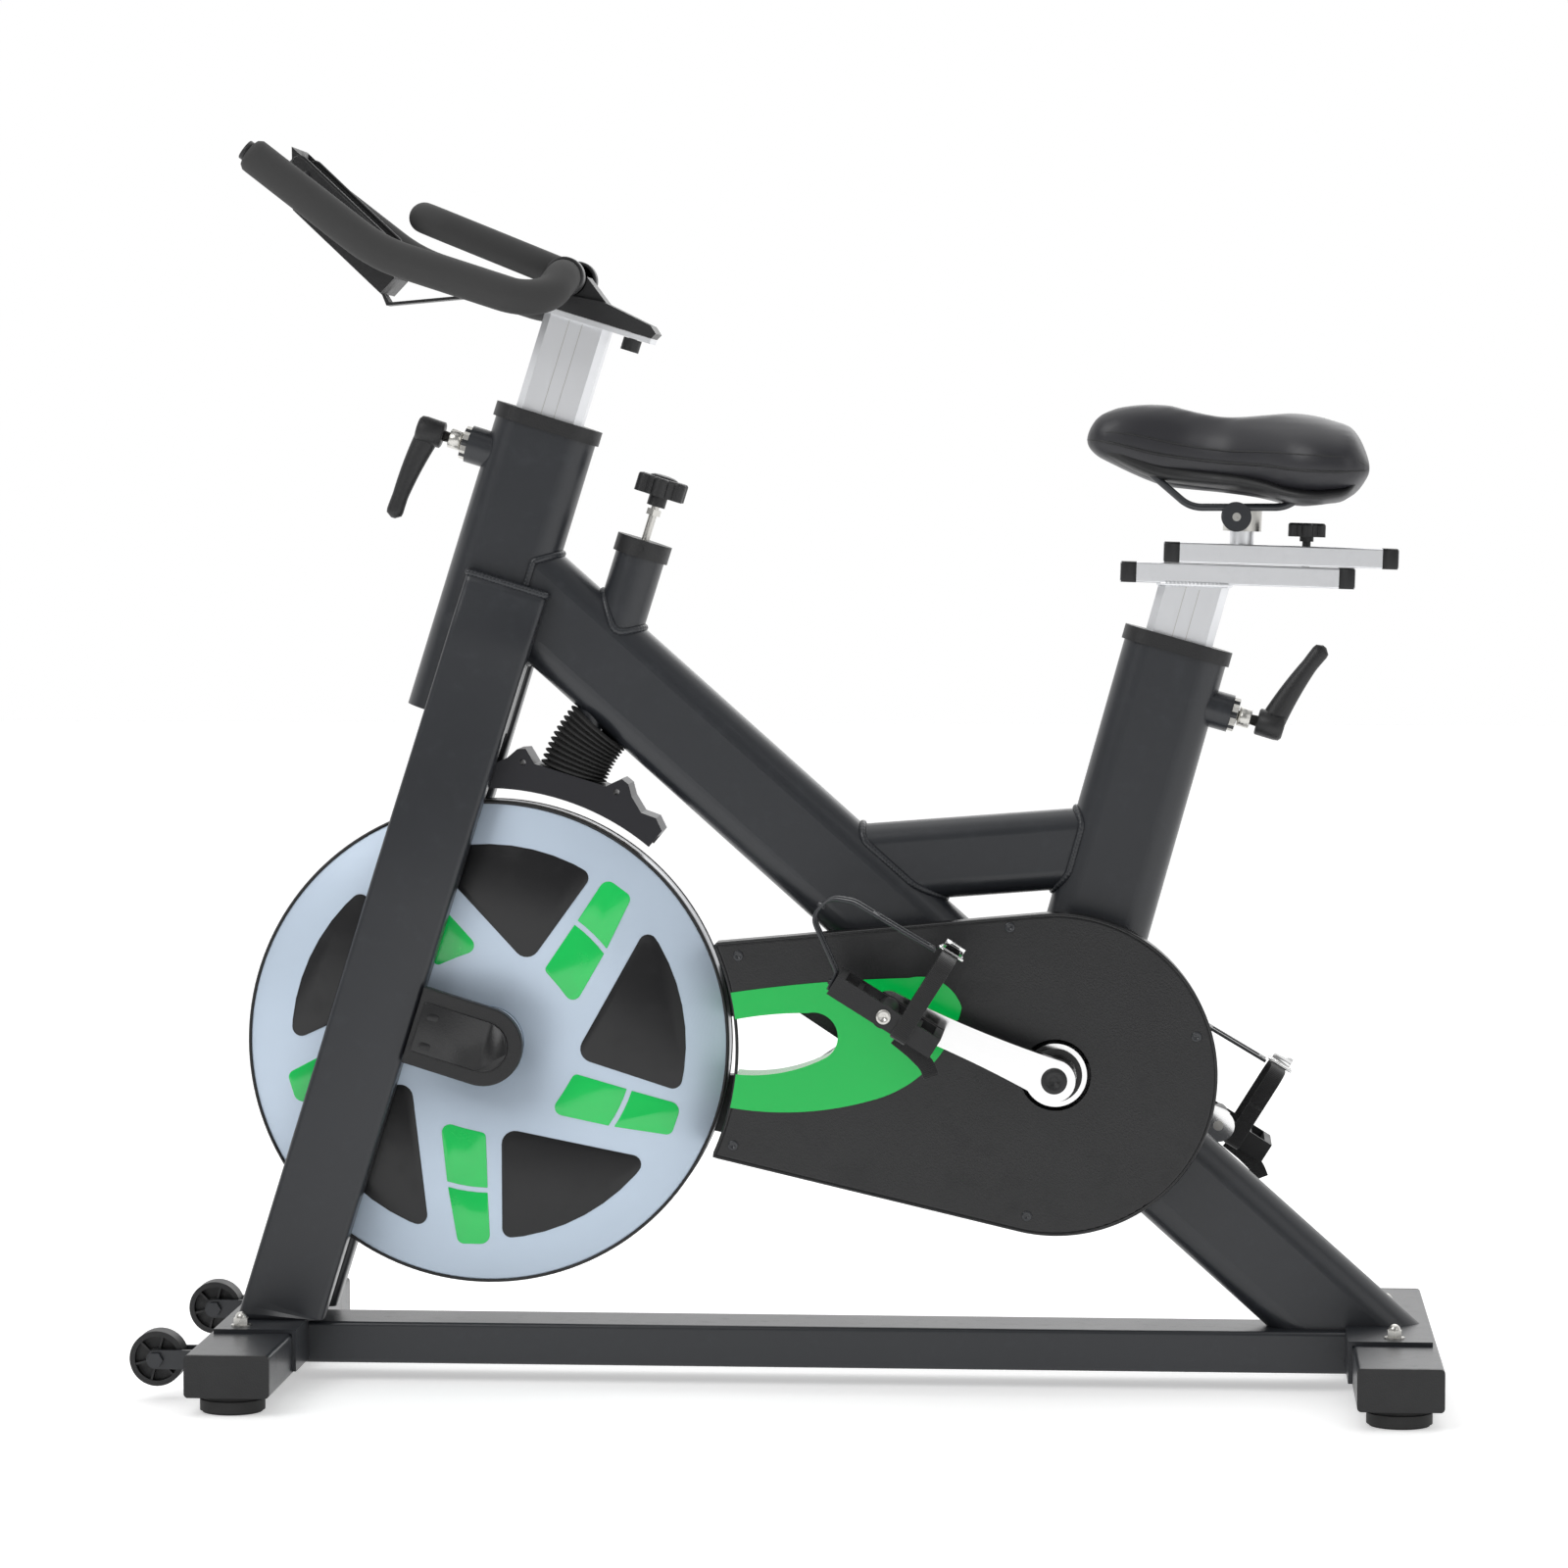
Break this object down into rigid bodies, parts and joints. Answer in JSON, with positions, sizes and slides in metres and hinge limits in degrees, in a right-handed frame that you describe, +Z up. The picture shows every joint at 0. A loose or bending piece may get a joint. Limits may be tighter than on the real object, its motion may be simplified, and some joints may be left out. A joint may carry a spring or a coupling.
{
  "type": "indoor spin bike",
  "caption": "Stationary exercise bike with a heavy front flywheel, chain drive, sliding saddle and handlebar posts, a push brake and a steel floor frame.",
  "frame": {"origin": "on the floor under the middle of the machine's length and width", "axes": "+X to the rear, where the saddle is, +Y to the rider's right, +Z up"},
  "size_m": [1.2295, 0.5, 1.1904],
  "materials": {
    "frame_paint": "satin",
    "black_plastic": "matte",
    "rubber": "matte",
    "grip_foam": "matte",
    "zinc": "satin",
    "chrome": "polished",
    "aluminium": "satin",
    "flywheel_finish": "satin",
    "green_gloss": "gloss",
    "brake_casting": "satin",
    "brake_felt": "matte",
    "saddle_vinyl": "satin"
  },
  "bodies": {
    "frame": {"stabilisers": "frame_paint", "stabiliser_end_caps": "black_plastic", "rubber_feet": "rubber", "base_rail": "frame_paint", "saddle_plates": "frame_paint", "acorn_nuts": "zinc", "wheel_brackets": "frame_paint", "head_tube": "frame_paint", "main_beam": "frame_paint", "seat_tube": "frame_paint", "link_tube": "frame_paint", "bracket_shell": "frame_paint", "fork_legs": "frame_paint", "axle_dropouts": "frame_paint", "axle_covers": "black_plastic", "clamp_bosses": "frame_paint", "tube_collars": "black_plastic", "flywheel_axle": "zinc", "drive_chain": "zinc", "chain_case": "black_plastic", "bearing_cups": "chrome", "side_cover": "black_plastic", "cover_insert": "green_gloss", "brake_tube": "frame_paint", "brake_cap": "black_plastic", "brake_spring": "zinc", "brake_bellows": "rubber"},
    "flywheel": {"flywheel": "flywheel_finish", "flywheel_bearings": "chrome", "flywheel_sprocket": "zinc"},
    "cranks": {"crank_spindle": "zinc", "chainring": "zinc", "left_crank_arm": "chrome", "right_crank_arm": "chrome", "pedal_spindles": "zinc"},
    "left_pedal": {"left_pedal": "black_plastic", "left_toe_cage": "black_plastic"},
    "right_pedal": {"right_pedal": "black_plastic", "right_toe_cage": "black_plastic"},
    "left_wheel": {"left_transport_wheel": "black_plastic"},
    "right_wheel": {"right_transport_wheel": "black_plastic"},
    "brake": {"brake_rod": "zinc", "brake_shoe": "brake_casting", "brake_pad": "brake_felt"},
    "brake_knob": {"brake_knob": "black_plastic"},
    "head_clamp": {"head_clamp_lever": "black_plastic"},
    "seat_clamp": {"seat_clamp_lever": "black_plastic"},
    "handlebar_post": {"handlebar_post": "aluminium"},
    "handlebar": {"handlebar_base": "black_plastic", "left_grip_bar": "grip_foam", "right_grip_bar": "grip_foam", "centre_loop": "grip_foam", "handlebar_tray": "frame_paint"},
    "handlebar_knob": {"handlebar_knob": "black_plastic"},
    "seat_post": {"seat_post": "aluminium"},
    "saddle_slide": {"saddle_carriage": "aluminium", "saddle_clamp": "zinc"},
    "saddle": {"saddle": "saddle_vinyl", "saddle_frame": "black_plastic"},
    "saddle_knob": {"saddle_knob": "black_plastic"}
  },
  "joints": [
    {"name": "flywheel_spin", "type": "hinge", "parent": "frame", "child": "flywheel", "pos_m": [-0.2918, 0, 0.32722], "axis": [0, 1, 0], "continuous": true},
    {"name": "crank_spin", "type": "hinge", "parent": "frame", "child": "cranks", "pos_m": [0.25469, 0, 0.30451], "axis": [0, 1, 0], "continuous": true},
    {"name": "left_pedal_spin", "type": "hinge", "parent": "cranks", "child": "left_pedal", "pos_m": [0.09891, 0, 0.37256], "axis": [0, 1, 0], "continuous": true},
    {"name": "right_pedal_spin", "type": "hinge", "parent": "cranks", "child": "right_pedal", "pos_m": [0.41047, 0, 0.23645], "axis": [0, 1, 0], "continuous": true},
    {"name": "left_wheel_roll", "type": "hinge", "parent": "frame", "child": "left_wheel", "pos_m": [-0.5888, -0.157, 0.0403], "axis": [0, 1, 0], "continuous": true},
    {"name": "right_wheel_roll", "type": "hinge", "parent": "frame", "child": "right_wheel", "pos_m": [-0.5888, 0.157, 0.0403], "axis": [0, 1, 0], "continuous": true},
    {"name": "brake_push", "type": "slide", "parent": "frame", "child": "brake", "axis": [-0.2974, 0, -0.9548], "range_m": [0, 0.0165], "stiffness_N_per_m": 1500, "springref_m": -0.012, "deforming": ["brake_spring", "brake_bellows"]},
    {"name": "brake_knob_turn", "type": "hinge", "parent": "brake", "child": "brake_knob", "pos_m": [-0.12574, 0, 0.86036], "axis": [0.2974, 0, 0.9548], "range_deg": [-540, 540]},
    {"name": "head_clamp_turn", "type": "hinge", "parent": "frame", "child": "head_clamp", "pos_m": [-0.24741, 0, 0.88234], "axis": [-0.9548, 0, 0.2974], "range_deg": [-60, 60]},
    {"name": "seat_clamp_turn", "type": "hinge", "parent": "frame", "child": "seat_clamp", "pos_m": [0.355, 0, 0.66283], "axis": [0.963, 0, -0.2696], "range_deg": [-60, 60]},
    {"name": "handlebar_height", "type": "slide", "parent": "frame", "child": "handlebar_post", "axis": [0.2974, 0, 0.9548], "range_m": [-0.06, 0.1]},
    {"name": "handlebar_reach", "type": "slide", "parent": "handlebar_post", "child": "handlebar", "axis": [0.9548, 0, -0.2974], "range_m": [-0.012, 0.012]},
    {"name": "handlebar_knob_turn", "type": "hinge", "parent": "handlebar", "child": "handlebar_knob", "pos_m": [-0.15136, 0, 1.00744], "axis": [0.2974, 0, 0.9548], "range_deg": [-360, 360]},
    {"name": "seat_height", "type": "slide", "parent": "frame", "child": "seat_post", "axis": [0.2696, 0, 0.963], "range_m": [-0.02, 0.1]},
    {"name": "saddle_reach", "type": "slide", "parent": "seat_post", "child": "saddle_slide", "axis": [0.9995, 0, -0.0314], "range_m": [-0.06, 0.06]},
    {"name": "saddle_tilt", "type": "hinge", "parent": "saddle_slide", "child": "saddle", "pos_m": [0.42391, 0, 0.83255], "axis": [0, 1, 0], "range_deg": [-8, 8]},
    {"name": "saddle_knob_turn", "type": "hinge", "parent": "saddle_slide", "child": "saddle_knob", "pos_m": [0.49088, 0, 0.81344], "axis": [0.0314, 0, 0.9995], "range_deg": [-360, 360]}
  ],
  "couplings": [
    {"joint": "crank_spin", "follows": "flywheel_spin", "ratio": 0.26923}
  ]
}
